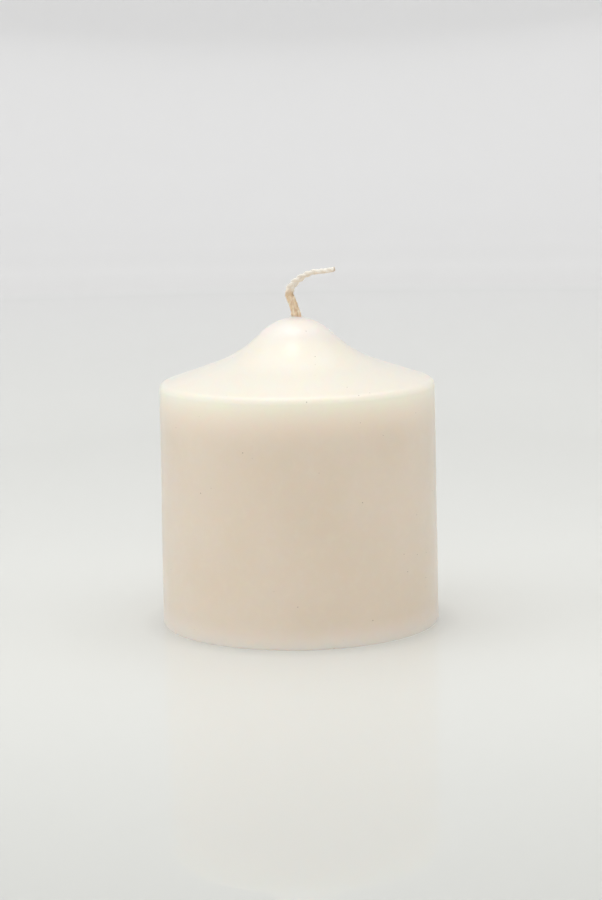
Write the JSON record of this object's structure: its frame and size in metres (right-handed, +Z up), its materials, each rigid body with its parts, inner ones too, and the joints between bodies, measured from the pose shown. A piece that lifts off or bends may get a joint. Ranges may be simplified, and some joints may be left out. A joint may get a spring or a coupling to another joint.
{
  "type": "pillar candle",
  "caption": "Plain round pillar candle of ivory wax with a pointed, softly curved crown, a bent braided cotton wick and a metal wick tab in its base.",
  "frame": {"origin": "centre of the flat base, on the surface that the candle stands on", "axes": "+Z up along the candle; +X to the right, the way that the wick's free end bends; -Y towards the viewer"},
  "size_m": [0.07, 0.07, 0.0894],
  "materials": {
    "wax": "translucent ivory wax with a satin surface",
    "wick_cotton": "braided cotton, soaked with wax at its foot",
    "tab_steel": "tinned steel sheet"
  },
  "bodies": {
    "root": {"wax_body": "wax", "wick_strand_a": "wick_cotton", "wick_strand_b": "wick_cotton", "wick_strand_c": "wick_cotton", "wick_sustainer": "tab_steel"}
  },
  "joints": []
}
